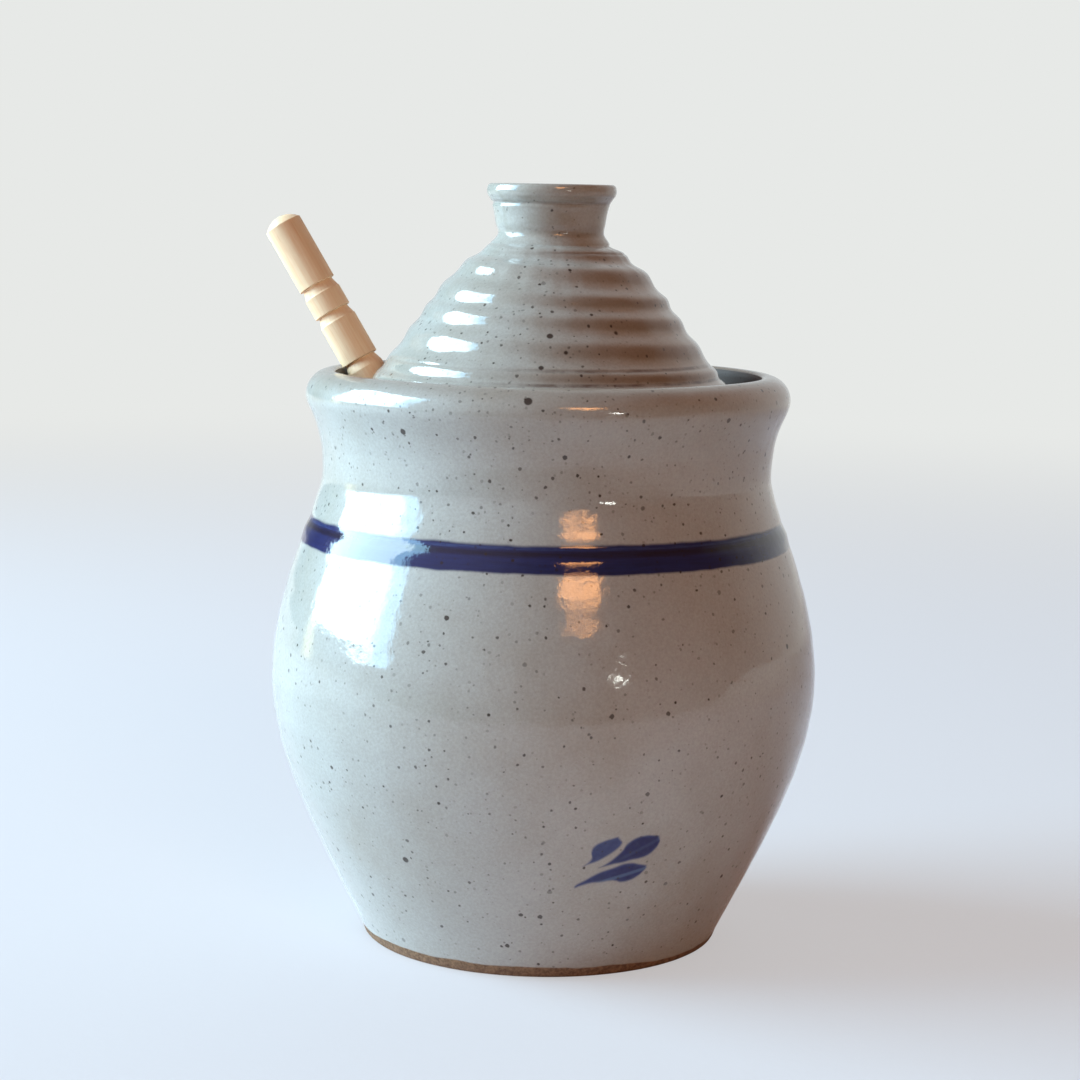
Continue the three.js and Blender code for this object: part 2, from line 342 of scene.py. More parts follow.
# Painted shade: the jar's inside is the same glaze, darkened
INSIDE_PAINTED_SHADE = colour(102, 96, 92)
IRON = colour(48, 36, 30)
# Rusty brown of thin glaze, used also as painted shade on the lid and on the rim's right side
RUST_AND_SHADE = colour(120, 92, 66)
# Dark brown of iron staining and painted shade in the lid's tool lines
STAIN_AND_SHADE = colour(74, 48, 36)
CLAY = colour(140, 108, 80)
CLAY_DARK = colour(96, 68, 48)

# Blues
COBALT = colour(32, 34, 78)
# Pale blue of the painted highlight line in the band
COBALT_HIGHLIGHT = colour(66, 84, 132)
NAVY = colour(25, 16, 40)
LEAF_PALE = colour(58, 70, 118)
LEAF_DARK = colour(10, 8, 80)
LEAF_STREAK = colour(76, 98, 134)

# Wood
WOOD_PALE = colour(238, 208, 170)
WOOD_DARK = colour(226, 180, 136)
WOOD_FLECK = colour(184, 134, 92)

# Stage
BACKDROP = colour(231, 233, 231)
FLOOR_TONE = (0.73, 0.65, 0.65, 1)  # as the pot sees it
FLOOR_SEEN = (0.25, 0.27, 0.30, 1)  # as the camera sees it, with the lift added
FLOOR_LIFT = (0.465, 0.46, 0.465, 1)
DIM_ROOM = (0.07, 0.055, 0.045, 1)


# Outlines: points are (distance from the axis, height)

def curve(start, start_pull, end_pull, end, steps):
    """A smooth line; each pull is the way and the distance that it leaves its end."""
    leave, arrive = start + start_pull, end + end_pull
    points = []
    for i in range(steps + 1):
        t = i / steps
        s = 1 - t
        points.append(start * s**3 + leave * 3 * t * s**2 + arrive * 3 * t**2 * s + end * t**3)
    return points


def spline(points, steps):
    """A smooth line through the points."""
    line = []
    for i in range(len(points) - 1):
        before, after = points[max(i - 1, 0)], points[min(i + 2, len(points) - 1)]
        start_pull = (points[i + 1] - before) / 6
        end_pull = (points[i] - after) / 6
        line += curve(points[i], start_pull, end_pull, points[i + 1], steps)[:-1]
    return line + [points[-1]]


def arc(centre, width, height, start, end, steps):
    """Part of an oval, from and to angles in degrees."""
    angles = [math.radians(mix(start, end, i / steps)) for i in range(steps + 1)]
    return [centre + at(width * math.cos(a), height * math.sin(a)) for a in angles]


def crisp(line, hold):
    """The line with a point near both ends of each long stretch, which keeps its shading flat."""
    points = [line[0]]
    for start, end in zip(line, line[1:]):
        span = end - start
        if span.length > 3 * hold:
            points += [start + span.normalized() * hold, end - span.normalized() * hold]
        points.append(end)
    return points


def rounded(points, reach, steps=6):
    """The line through the points, its inner corners eased over that reach."""
    line = [points[0]]
    for before, corner, after in zip(points, points[1:], points[2:]):
        near = min(reach, (corner - before).length / 2, (corner - after).length / 2)
        start = corner + (before - corner).normalized() * near
        end = corner + (after - corner).normalized() * near
        for i in range(steps + 1):
            t = i / steps
            line.append(start * (1 - t) ** 2 + corner * 2 * t * (1 - t) + end * t**2)
    return line + [points[-1]]


def inset(line, distance):
    """The line moved towards the axis, square to itself. It has to run upwards."""
    moved = []
    for i, point in enumerate(line):
        along = (line[min(i + 1, len(line) - 1)] - line[max(i - 1, 0)]).normalized()
        moved.append(at(point.x - along.y * distance, point.y + along.x * distance))
    return moved


def radius_at(line, height):
    """The distance from the axis at which a line that runs upwards reaches the height."""
    for low, high in zip(line, line[1:]):
        if high.y >= height:
            return mix(low.x, high.x, (height - low.y) / (high.y - low.y))
    return line[-1].x


def jar_side():
    """The jar's outside from the foot to the neck."""
    foot, neck = at(FOOT_RADIUS, 0), at(NECK_RADIUS, NECK_HEIGHT)
    belly = at(BELLY_RADIUS, BELLY_HEIGHT)
    rise = NECK_HEIGHT - BELLY_HEIGHT
    foot_pull = at((BELLY_RADIUS - FOOT_RADIUS) * FOOT_PULL[0], BELLY_HEIGHT * FOOT_PULL[1])
    low = curve(foot, foot_pull, at(0, -BELLY_HEIGHT * BELLY_PULL_DOWN), belly, 80)
    high = curve(belly, at(0, rise * BELLY_PULL_UP), at(0, -rise * NECK_PULL_DOWN), neck, 70)
    return low + high[1:]


def rim_line():
    """The flare from the neck, the rolled rim and its inner shoulder."""
    rise = RIM_HEIGHT - NECK_HEIGHT
    neck, rim = at(NECK_RADIUS, NECK_HEIGHT), at(RIM_RADIUS, RIM_HEIGHT)
    flare = curve(neck, at(0, rise * NECK_PULL_UP), at(0, -rise * RIM_PULL), rim, 26)
    outer = arc(at(CREST_RADIUS, RIM_HEIGHT), RIM_ROLL, JAR_HEIGHT - RIM_HEIGHT, 0, 90, 20)
    inner = arc(at(CREST_RADIUS, JAR_HEIGHT - LIP_ROLL), LIP_ROLL, LIP_ROLL, 90, 180, 10)
    return flare[1:] + outer[1:] + inner[1:]


def jar_inside():
    """From the rim's inner shoulder down the gallery, over the ledge and down to the floor's middle."""
    side = inset(jar_side(), WALL)
    neck = side[-1]
    ledge_foot = at(LEDGE_RADIUS, LEDGE_HEIGHT - LEDGE_LIP)
    drop = (ledge_foot.y - neck.y) / 2
    gallery = rounded([
        at(LIP_RADIUS, JAR_HEIGHT - LIP_ROLL),
        at(GALLERY_RADIUS, LEDGE_HEIGHT),
        at(LEDGE_RADIUS, LEDGE_HEIGHT),
        ledge_foot,
    ], LEDGE_ROUND)
    under = curve(ledge_foot, at(0, -drop), at(0, drop), neck, 12)
    fillet_top = FLOOR + FLOOR_FILLET
    wall = [point for point in side if fillet_top < point.y < neck.y][::-1]
    corner = at(radius_at(side, FLOOR), FLOOR)
    fillet = rounded([wall[-1], corner, at(corner.x - FLOOR_FILLET, FLOOR)], 2 * FLOOR_FILLET, 14)
    middle = [at(corner.x / 2, FLOOR), at(0, FLOOR)]
    return gallery[1:] + under[1:] + wall[::2] + fillet[1:] + middle


def jar_outline():
    side = [point for point in jar_side() if point.y > 2 * FOOT_ROUND]
    edge = at(FOOT_RADIUS + FOOT_ROUND / 4, 0)
    foot = rounded([at(FOOT_RADIUS / 2, 0), edge, side[0]], FOOT_ROUND, 8)
    return [at(0, 0)] + foot + side[1:] + rim_line() + jar_inside()


def cone_line(steps):
    """The lid's cone, without its ridge."""
    edge, top = at(LID_RADIUS, LID_BOTTOM + LID_EDGE), at(CONE_TOP_RADIUS, CONE_TOP)
    span = top - edge
    edge_pull = at(span.x * CONE_EDGE_PULL[0], span.y * CONE_EDGE_PULL[1])
    top_pull = at(-span.x * CONE_TOP_PULL[0], -span.y * CONE_TOP_PULL[1])
    return curve(edge, edge_pull, top_pull, top, steps)


def knob_line():
    """The knob from its foot over the rolled lip to the middle of its dished top."""
    flare, rise = KNOB_LIP_RADIUS - KNOB_FOOT_RADIUS, LID_TOP - KNOB_FOOT
    side = [at(KNOB_FOOT_RADIUS + flare * x, KNOB_FOOT + rise * y) for x, y in KNOB_SHARES]
    brim = side[-1].x - KNOB_DISH
    dish = LID_TOP - KNOB_DISH
    return side + [at(brim, mix(LID_TOP, dish, 0.5)), at(brim * 0.6, dish), at(0, dish)]


def lid_inside():
    """The hollow under the cone, from its middle down to the lid's edge."""
    line = inset(cone_line(60), LID_WALL)
    top = line[-1]
    apex = at(0, top.y + LID_WALL / 2)
    dome = curve(apex, at(top.x / 3, 0), (at(top.x / 2, apex.y) - top) * 0.7, top, 12)
    wall = [point for point in line if point.y > LID_BOTTOM + LID_EDGE][::-1]
    return dome + wall[1:]


def lid_outline():
    """The lid's closed outline, its cone still plain."""
    inside = lid_inside()
    cone = inset(cone_line(200), RIDGE_INSET)
    inner_edge = at(radius_at(inset(cone_line(60), LID_WALL), LID_BOTTOM), LID_BOTTOM)
    corners = [inside[-1], inner_edge, at(LID_RADIUS, LID_BOTTOM), cone[1]]
    edge = rounded(corners, LID_EDGE_ROUND * 1.4)
    knob = spline([at(CONE_TOP_RADIUS, CONE_TOP)] + knob_line(), 5)
    return inside[:-1] + edge[:-1] + cone[1:-1] + knob


def head_line():
    """The dipper's head: discs on a core."""
    pitch = (HEAD_LENGTH + HEAD_SLOT) / len(DISC_SHARES)
    points = [at(0, 0)]
    for i, share in enumerate(DISC_SHARES):
        low, high = i * pitch, (i + 1) * pitch - HEAD_SLOT
        radius = HEAD_RADIUS * share
        if i == 0:
            points += [at(radius - HEAD_NOSE, 0), at(radius, HEAD_NOSE)]
        else:
            points += [at(HEAD_CORE_RADIUS, low), at(radius, low)]
        points.append(at(radius, high))
        if i < len(DISC_SHARES) - 1:
            points.append(at(HEAD_CORE_RADIUS, high))
    return points


def handle_line():
    """The handle from its domed tip down to the shaft."""
    height = DIPPER_LENGTH - TIP_HEIGHT
    line = [at(HANDLE_RADIUS * x, height + TIP_HEIGHT * y) for x, y in TIP_SHARES]
    for number, stretch in enumerate(STRETCHES):
        if number:
            line.append(at(HANDLE_RADIUS - GROOVE_BURR, height + GROOVE_BURR))
            line.append(at(HANDLE_RADIUS, height))
        height -= stretch
        line.append(at(HANDLE_RADIUS, height))
        line.append(at(HANDLE_RADIUS - GROOVE_DEPTH, height - GROOVE_STEP))
        height -= GROOVE
    line += [at(HANDLE_RADIUS, height), at(HANDLE_RADIUS, height - COLLAR)]
    line.append(at(SHAFT_TOP_RADIUS, height - COLLAR - COLLAR_TAPER))
    return line


def dipper_outline():
    points = head_line() + [at(SHAFT_END_RADIUS, HEAD_LENGTH)] + handle_line()[::-1]
    return crisp(rounded(points, TURNED_ROUND, 2), TURNED_HOLD)


# Places

def lean_past(place, distance):
    """The lean at which the dipper's axis passes a place on the jar at this distance."""
    to_place = place - at(-DIPPER_REACH, FLOOR)
    return math.atan2(to_place.x, to_place.y) - math.asin(distance / to_place.length)


def dipper_place():
    """Leaning on the jar's rim or ledge, whichever it meets first, its head on the jar's floor."""
    side = HANDLE_RADIUS + FIT_GAP
    shoulder = lean_past(at(CREST_RADIUS, JAR_HEIGHT - LIP_ROLL), LIP_ROLL + side)
    lean = min(shoulder, lean_past(at(LEDGE_RADIUS, LEDGE_HEIGHT), side))
    deepest = min(point.y * math.cos(lean) - point.x * math.sin(lean) for point in dipper_outline())
    height = FLOOR + FIT_GAP - deepest
    reach = (height - FLOOR) * math.tan(lean) - DIPPER_REACH
    shift = Matrix.Translation((reach, 0, height))
    return Matrix.Rotation(DIPPER_SIDE, 4, "Z") @ shift @ Matrix.Rotation(lean, 4, "Y")


JAR_SIDE_MIDDLE = inset(jar_side(), WALL / 2)
JAR_POINTS = jar_outline()
JAR_INNER_START = len(JAR_POINTS) - len(jar_inside()) - 7  # on the lip's inner shoulder
LID_POINTS = lid_outline()
LID_INSIDE_COUNT = len(lid_inside())
LID_CORE = at(LID_RADIUS * LID_CORE_SHARE, LID_BOTTOM + LID_CORE_RISE)  # inside the lid's wall
CONE_NORMAL = at(math.cos(CONE_SLOPE), math.sin(CONE_SLOPE))
# The thrower's ridge winds round the cone once from each crest to the next: turns against height
RIDGE_TURNS = spline([at(turn, LID_BOTTOM + rise) for turn, rise in enumerate(RIDGE_RISES)], 10)
PLACE_DIPPER = dipper_place()


# Shapes of the thrown walls. Angles are round the axis from +X, and the front is at -90 degrees.

def uneven(angle, height, size, seed):
    """Smooth unevenness round a turned form, from -1 to 1, its grain that many millimetres."""
    around = BELLY_RADIUS / size
    spot = (math.cos(angle) * around, math.sin(angle) * around, height / size + seed)
    return noise.noise(Vector(spot))


def jar_mark(point, angle, index):
    """1 on the jar's inside."""
    return 1.0 if index > JAR_INNER_START else 0.0


def band_relief(angle, height):
    """The slight rise under the blue band, and the groove along its top."""
    drift = BAND_DRIFT * uneven(angle, 0, size=30, seed=7)
    above_rise = height - BAND_RISE - drift
    width = BAND_RISE_ABOVE if above_rise > 0 else BAND_RISE_BELOW
    groove = BAND_GROOVE_DEPTH * bell(height - BAND_GROOVE - drift, BAND_GROOVE_WIDTH)
    return BAND_RISE_HEIGHT * bell(above_rise, width) - groove


def jar_shape(point, angle, index):
    """A point of the jar's outline with the throwing rings, the band's relief and slight waves."""
    radius, height = point
    if radius < FOOT_RADIUS / 2:
        return point
    rings = sum(depth * (math.sin(math.tau * height / gap - angle + phase) - 1)
                for gap, depth, phase in THROWING_RINGS)
    rings *= smooth(1, 6, height) * (1 + RINGS_UNEVEN * uneven(angle, height, size=20, seed=3))
    inner = height < NECK_HEIGHT and radius <= radius_at(JAR_SIDE_MIDDLE, height)
    relief = 0 if inner else band_relief(angle, height)
    waves = sum(depth * (uneven(angle, height, size, seed) - 1) for size, depth, seed in WALL_WAVES)
    return at(radius + rings + relief + waves, height)


def on_cone(index, height):
    """1 on the cone's outside, easing to 0 at its edge and at the knob."""
    if index < LID_INSIDE_COUNT:
        return 0
    from_edge = smooth(LID_BOTTOM + 1, LID_BOTTOM + 3, height)
    return from_edge * smooth(CONE_TOP + 1, CONE_TOP - 0.8, height)


def ridge_at(height, angle, lead=0.0):
    """1 on the ridge's crest, 0 in the hollow; lead is in turns above the place."""
    front = angle + math.pi / 2
    turns = radius_at(RIDGE_TURNS, height) + front / math.tau + lead
    return 0.5 + 0.5 * math.cos(math.tau * turns)


def lid_mark(point, angle, index):
    """How brown the lid turns, from thin glaze and painted shade: 1 just under a crest, more than plain
    round the knob's foot.
    """
    share = on_cone(index, point.y)
    if share:
        return mix(BROWN_PLAIN, ridge_at(point.y, angle, BROWN_LEAD), share)
    over_foot = point.y - KNOB_FOOT - 0.4
    return BROWN_PLAIN + KNOB_FOOT_BROWN * bell(over_foot, KNOB_FOOT_BROWN_WIDTH)


def ridge_depth(angle, height):
    """From crest to hollow: less near the lid's edge, more near the knob, and uneven round the cone."""
    depth = RIDGE_HEIGHT
    for low, high, before, after in RIDGE_CHANGES:
        depth *= mix(before, after, smooth(LID_BOTTOM + low, LID_BOTTOM + high, height))
    lopsided = RIDGE_LOPSIDED * math.cos(angle + math.pi / 4)
    return depth * (1 + lopsided + RIDGE_UNEVEN * uneven(angle, height, size=17, seed=5))


def tool_lines(angle, height):
    """How deep the thrower's tool lines cut in."""
    front = angle + math.pi / 2
    total = 0
    for rise, width, depth, middle, reach, _ in TOOL_LINES:
        way = 0.5 + 0.5 * math.cos(front - math.radians(middle))
        fade = smooth(1 - reach, 1 - reach / 3, way)
        drift = TOOL_LINE_LEAN * math.sin(front)
        drift -= TOOL_LINE_DRIFT * uneven(angle, 0, size=30, seed=rise)
        total += depth * fade * bell(height - LID_BOTTOM - rise + drift, width)
    return total


def knob_swell(angle, height):
    """The knob's waist is fuller on its left, with a groove under the lip there."""
    if height <= KNOB_FOOT:
        return 0
    left = 0.5 + 0.5 * math.cos(angle - KNOB_SWELL_SIDE)
    groove = KNOB_LINE_DEPTH * bell(height - LID_TOP + KNOB_LINE, KNOB_LINE_WIDTH)
    waist = smooth(KNOB_FOOT, KNOB_FOOT + 2, height) * smooth(LID_TOP - 2, LID_TOP - 4, height)
    return left * (KNOB_SWELL * waist - groove)


def lid_shape(point, angle, index):
    """A point of the lid's outline with the winding ridge, the tool lines and slight waves."""
    radius, height = point
    if radius < 2:
        return point
    share = on_cone(index, height)
    move = at(0, 0)
    if share:
        depth = ridge_depth(angle, height)
        move = CONE_NORMAL * share * depth * (ridge_at(height, angle) - 0.5)
        move -= CONE_NORMAL * tool_lines(angle, height)
        move += CONE_NORMAL * share * LID_WAVES * uneven(angle, height, size=7, seed=9)
    return at(radius + move.x + knob_swell(angle, height), height + move.y)


# Meshes

def new_object(name, verts, faces):
    """An object from its points, in metres, and its faces."""
    mesh = bpy.data.meshes.new(name)
    mesh.from_pydata(verts, [], faces)
    piece = bpy.data.objects.new(name, mesh)
    bpy.context.scene.collection.objects.link(piece)
    return piece


def turned(name, outline, segments, shape=None, mark=None):
    """A closed body: the outline turned about Z. shape moves each point and mark gives its mark."""
    verts, faces, marks, rings = [], [], [], []
    for i, point in enumerate(outline):
        count = 1 if point.x < 1e-6 else segments
        rings.append((len(verts), count))
        for k in range(count):
            angle = math.tau * k / segments
            place = shape(point, angle, i) if shape else point
            radius, height = place
            verts.append((radius * math.cos(angle) * MM, radius * math.sin(angle) * MM, height * MM))
            marks.append(mark(point, angle, i) if mark else 0)
    for (low, low_count), (high, high_count) in zip(rings, rings[1:]):
        for k in range(segments):
            n = (k + 1) % segments
            a, b = low + k % low_count, low + n % low_count
            c, d = high + n % high_count, high + k % high_count
            faces.append(list(dict.fromkeys((a, b, c, d))))
    piece = new_object(name, verts, faces)
    mesh = piece.data
    mesh.validate()
    mesh.attributes.new("mark", "FLOAT", "POINT").data.foreach_set("value", marks)
    mesh.polygons.foreach_set("use_smooth", [True] * len(mesh.polygons))
    bm = bmesh.new()
    bm.from_mesh(mesh)
    bmesh.ops.recalc_face_normals(bm, faces=bm.faces)
    bm.to_mesh(mesh)
    bm.free()
    return piece


def notch_cutter():
    """Meant as a slot, open outwards, along the leaning handle. It cuts nothing: its points are in
    metres and its place in millimetres, which puts it metres away from the lid."""
    radius, far = HANDLE_RADIUS + NOTCH_GAP, LID_RADIUS
    section = [at(far, -radius), at(far, radius)]
    section += [at(x, radius) for x in (far / 2, far / 4, far / 8)]
    section += arc(at(0, 0), radius, radius, 90, 270, 24)
    section += [at(x, -radius) for x in (far / 8, far / 4, far / 2)]
    rows = [DIPPER_LENGTH * NOTCH_START + NOTCH_STEP * i for i in range(NOTCH_ROWS)]
    verts = [(point.x * MM, point.y * MM, row * MM) for row in rows for point in section]
    count = len(section)
    faces = [list(range(count))[::-1], [len(verts) - count + i for i in range(count)]]
    for low in range(0, len(verts) - count, count):
        high = low + count
        for k in range(count):
            n = (k + 1) % count
            faces.append([low + k, low + n, high + n, high + k])
    cutter = new_object("cutter", verts, faces)
    cutter.data.transform(PLACE_DIPPER)
    return cutter


def cut(piece, cutter):
    """Takes the cutter's space out of the piece, and removes the cutter."""
    modifier = piece.modifiers.new("cut", "BOOLEAN")
    modifier.operation = "DIFFERENCE"
    modifier.solver = "EXACT"
    modifier.object = cutter
    bpy.context.view_layer.update()
    seen = piece.evaluated_get(bpy.context.evaluated_depsgraph_get())
    result = bpy.data.meshes.new_from_object(seen)
    piece.modifiers.clear()
    piece.data = result
    bpy.data.objects.remove(cutter)


def nearest_on(outline, point):
    """The distance to the outline, its nearest place and the way square to it there."""
    best = None
    for start, end in zip(outline, outline[1:]):
        along = end - start
        share = min(max((point - start).dot(along) / max(along.length_squared, 1e-9), 0), 1)
        spot = start + along * share
        distance = (point - spot).length
        if best is None or distance < best[0]:
            best = (distance, spot, at(-along.y, along.x).normalized())
    return best


def past_slot(local):
    """How far a place lies outside the slot's wall, and the way out, both in the dipper's frame."""
    slot = HANDLE_RADIUS + NOTCH_GAP
    if local.x < 0:
        return math.hypot(local.x, local.y) - slot, Vector((local.x, local.y, 0)).normalized()
    return abs(local.y) - slot, Vector((0, math.copysign(1, local.y), 0))


def soften_notch(piece, reach):
    """Meant to round the notch's edges. With no notch cut, it presses a dent into the lid there."""
    to_dipper = PLACE_DIPPER.inverted()
    slot = HANDLE_RADIUS + NOTCH_GAP
    for vert in piece.data.vertices:
        local = to_dipper @ (vert.co / MM)
        if local.z < 0 or abs(local.y) > slot + reach or local.x < -slot - reach:
            continue
        distance, away = past_slot(local)
        if distance > reach:
            continue
        radius = math.hypot(vert.co.x, vert.co.y) / MM
        depth, spot, normal = nearest_on(LID_POINTS, at(radius, vert.co.z / MM))
        from_centre = at(distance - reach, depth - reach)
        if depth > reach or from_centre.length <= reach:
            continue
        inward = normal if normal.dot(LID_CORE - spot) > 0 else -normal
        moved = at(reach, reach) + from_centre.normalized() * reach
        away = (PLACE_DIPPER.to_3x3() @ away).normalized()
        outward = Vector((vert.co.x, vert.co.y, 0)).normalized()
        inward = outward * inward.x + Vector((0, 0, inward.y))
        vert.co += (away * (moved.x - distance) + inward * (moved.y - depth)) * MM


# Materials

class Tree:
    """The node tree of a new material or world, with short ways to add nodes and feed their sockets."""

    def __init__(self, owner):
        owner.use_nodes = True
        self.tree = owner.node_tree
        self.tree.nodes.clear()

    def add(self, kind, inputs=None, **settings):
        node = self.tree.nodes.new("ShaderNode" + kind)
        for key, value in settings.items():
            setattr(node, key, value)
        for key, value in (inputs or {}).items():
            self.feed(node.inputs[key], value)
        return node

    def feed(self, socket, value):
        if isinstance(value, bpy.types.NodeSocket):
            self.tree.links.new(value, socket)
        else:
            socket.default_value = value

    def first(self, kind, inputs=None, **settings):
        """Adds a node and gives its first output."""
        return self.add(kind, inputs, **settings).outputs[0]

    def attribute(self, name, output):
        return self.add("Attribute", attribute_name=name).outputs[output]

    def maths(self, operation, *values, clamp=False):
        node = self.add("Math", operation=operation, use_clamp=clamp)
        for socket, value in zip(node.inputs, values):
            self.feed(socket, value)
        return node.outputs[0]

    def product(self, a, b):
        return self.maths("MULTIPLY", a, b)

    def sum(self, a, b):
        return self.maths("ADD", a, b)

    def away(self, a, b):
        """The distance between two numbers."""
        return self.maths("ABSOLUTE", self.maths("SUBTRACT", a, b))

    def noise(self, vector, grain, detail=2, roughness=0.5):
        """Noise from 0 to 1 whose grain is that many millimetres."""
        inputs = {"Vector": vector, "Scale": 1 / (grain * MM), "Detail": detail, "Roughness": roughness}
        return self.add("TexNoise", inputs).outputs["Fac"]

    def ramp(self, value, low, high, to_low=0.0, to_high=1.0):
        """Eases from one value to another while the given value goes from low to high."""
        ends = {"From Min": low, "From Max": high, "To Min": to_low, "To Max": to_high}
        return self.first("MapRange", {"Value": value, **ends}, interpolation_type="SMOOTHSTEP")

    def blend(self, share, below, above, mode="MIX"):
        node = self.add("Mix", data_type="RGBA", blend_type=mode)
        for index, value in ((0, share), (6, below), (7, above)):
            self.feed(node.inputs[index], value)
        return node.outputs[2]

    def bump(self, waves, height, strength):
        return self.first("Bump", {"Height": waves, "Strength": strength, "Distance": height * MM})

    def stretched(self, vector, x, y, z):
        return self.first("VectorMath", {0: vector, 1: (x, y, z)}, operation="MULTIPLY")


def specks(t, place, cell, radius, spread, share, density):
    """Round iron specks, one to a cell at most. Gives where they are and a random number for each."""
    inputs = {"Vector": place, "Scale": 1 / (cell * MM), "Randomness": 1.0}
    cells = t.add("TexVoronoi", inputs)
    picks = t.add("SeparateColor", {"Color": cells.outputs["Color"]}).outputs
    size = t.maths("MULTIPLY_ADD", picks[1], spread / cell, (radius - spread / 2) / cell)
    edge = t.maths("SUBTRACT", cells.outputs["Distance"], size)
    spot = t.ramp(edge, SPECK_EDGE[0] / cell, SPECK_EDGE[1] / cell, 1.0, 0.0)
    chosen = t.maths("LESS_THAN", picks[0], t.product(density, share))
    return t.product(spot, chosen), picks[2]


def marked_spots(t, place, spots):
    """Single specks at chosen places."""
    total = 0.0
    for angle, height, radius, reach in spots:
        a = math.radians(angle)
        centre = (math.sin(a) * reach * MM, -math.cos(a) * reach * MM, height * MM)
        away = t.add("VectorMath", {0: place, 1: centre}, operation="DISTANCE").outputs["Value"]
        spot = t.ramp(away, (radius - SPOT_BLUR) * MM, (radius + SPOT_BLUR) * MM, 1.0, 0.0)
        total = t.maths("MAXIMUM", total, spot)
    return total


def add_specks(t, place, body, chosen, density):
    """Scattered iron specks of four sizes, and the chosen ones; density scales their number."""
    scatter = t.add("TexNoise", {"Vector": place, "Scale": 1 / (SPECK_WARP_GRAIN * MM), "Detail": 1.0})
    shift = t.stretched(scatter.outputs["Color"], *[SPECK_WARP * MM] * 3)
    warped = t.first("VectorMath", {0: place, 1: shift}, operation="ADD")
    for cell, radius, spread, share, faintest, darkest in SPECKS:
        spots, pick = specks(t, warped, cell, radius, spread, share, density)
        body = t.blend(t.product(spots, t.ramp(pick, 0.0, 1.0, faintest, darkest)), body, IRON)
    large, _ = specks(t, warped, *LARGE_SPECKS, density)
    dark = t.maths("MAXIMUM", large, chosen)
    body = t.blend(t.product(dark, LARGE_DARKNESS), body, IRON)
    return body, t.maths("MAXIMUM", spots, dark)


def glaze_base(t, place, warmth):
    """Grey stoneware glaze: clouds, paler patches and fine grain."""
    clouds = t.ramp(t.noise(place, 34, detail=3), 0.35 - warmth, 0.75 - warmth)
    body = t.blend(clouds, GREY, WARM_GREY)
    patches = t.ramp(t.noise(place, 11, detail=3, roughness=0.6), 0.3, 0.75, 0.0, 0.45)
    body = t.blend(patches, body, PALE)
    grain = t.ramp(t.noise(place, 0.55, detail=3, roughness=0.65), 0.25, 0.75, 0.90, 1.07)
    fine = t.first("CombineColor", {0: grain, 1: grain, 2: grain})
    return t.blend(1.0, body, fine, "MULTIPLY")


def finish_glaze(t, place, body, pits, bare):
    """The shader: glossy over the glaze, dull and sandy where bare is 1."""
    gloss = t.ramp(t.noise(place, 6, detail=2), 0.3, 0.7, 0.06, 0.095)
    glazed = t.maths("SUBTRACT", 1.0, bare)
    rough = t.sum(t.product(gloss, glazed), t.product(bare, 0.85))
    peel = t.noise(place, 2.6, detail=4, roughness=0.55)
    sand = t.product(t.noise(place, 0.35, detail=3, roughness=0.7), t.product(bare, 1.6))
    height = t.maths("SUBTRACT", t.sum(peel, sand), t.product(pits, 0.12))
    bump = t.bump(height, *GLAZE_BUMP)
    inputs = {"Base Color": body, "Roughness": rough, "IOR": 1.5, "Normal": bump}
    t.add("OutputMaterial", {"Surface": t.first("BsdfPrincipled", inputs)})


def paint_band(t, place, height, body):
    """The blue band, put on with a brush while the jar turned, with a painted dark line of shade and a
    painted pale highlight line along its relief.
    """
    ragged = t.noise(t.stretched(place, 1, 1, 0.2), 9, detail=3)
    fray = t.maths("MULTIPLY_ADD", ragged, 0.9, -0.45)
    low = t.ramp(t.sum(height, fray), BAND_LOW - 0.3, BAND_LOW + 0.3)
    high = t.ramp(t.maths("SUBTRACT", height, fray), BAND_HIGH - 0.35, BAND_HIGH + 0.45, 1.0, 0.0)
    streaks = t.noise(t.stretched(place, 0.08, 0.08, 1), 0.55, detail=4, roughness=0.7)
    # Painted shade along the band's upper part, and a painted highlight just under its groove
    shade_line = t.ramp(t.away(height, BAND_SHADE_LINE), 0.1, 0.9, 1.0, 0.0)
    uneven_dark = t.maths("MULTIPLY_ADD", streaks, 1.3, -0.5)
    dark = t.maths("MULTIPLY_ADD", shade_line, 0.8, uneven_dark, clamp=True)
    highlight_line = t.ramp(t.away(height, BAND_HIGHLIGHT_LINE), 0.1, 0.4, 0.35, 0.0)
    pale = t.product(highlight_line, t.ramp(streaks, 0.35, 0.6))
    blue = t.blend(pale, t.blend(dark, COBALT, NAVY), COBALT_HIGHLIGHT)
    return t.blend(t.product(t.product(low, high), 0.97), body, blue)


def profile(t, along, points):
    """A smooth curve through the points, which are (share along a stroke, millimetres)."""
    node = t.add("FloatCurve", {"Value": along})
    curve_points = node.mapping.curves[0].points
    curve_points[0].location = points[0][0], points[0][1] / STROKE_WIDTH
    curve_points[1].location = points[-1][0], points[-1][1] / STROKE_WIDTH
    for x, y in points[1:-1]:
        curve_points.new(x, y / STROKE_WIDTH)
    node.mapping.update()
    return t.product(node.outputs[0], STROKE_WIDTH)


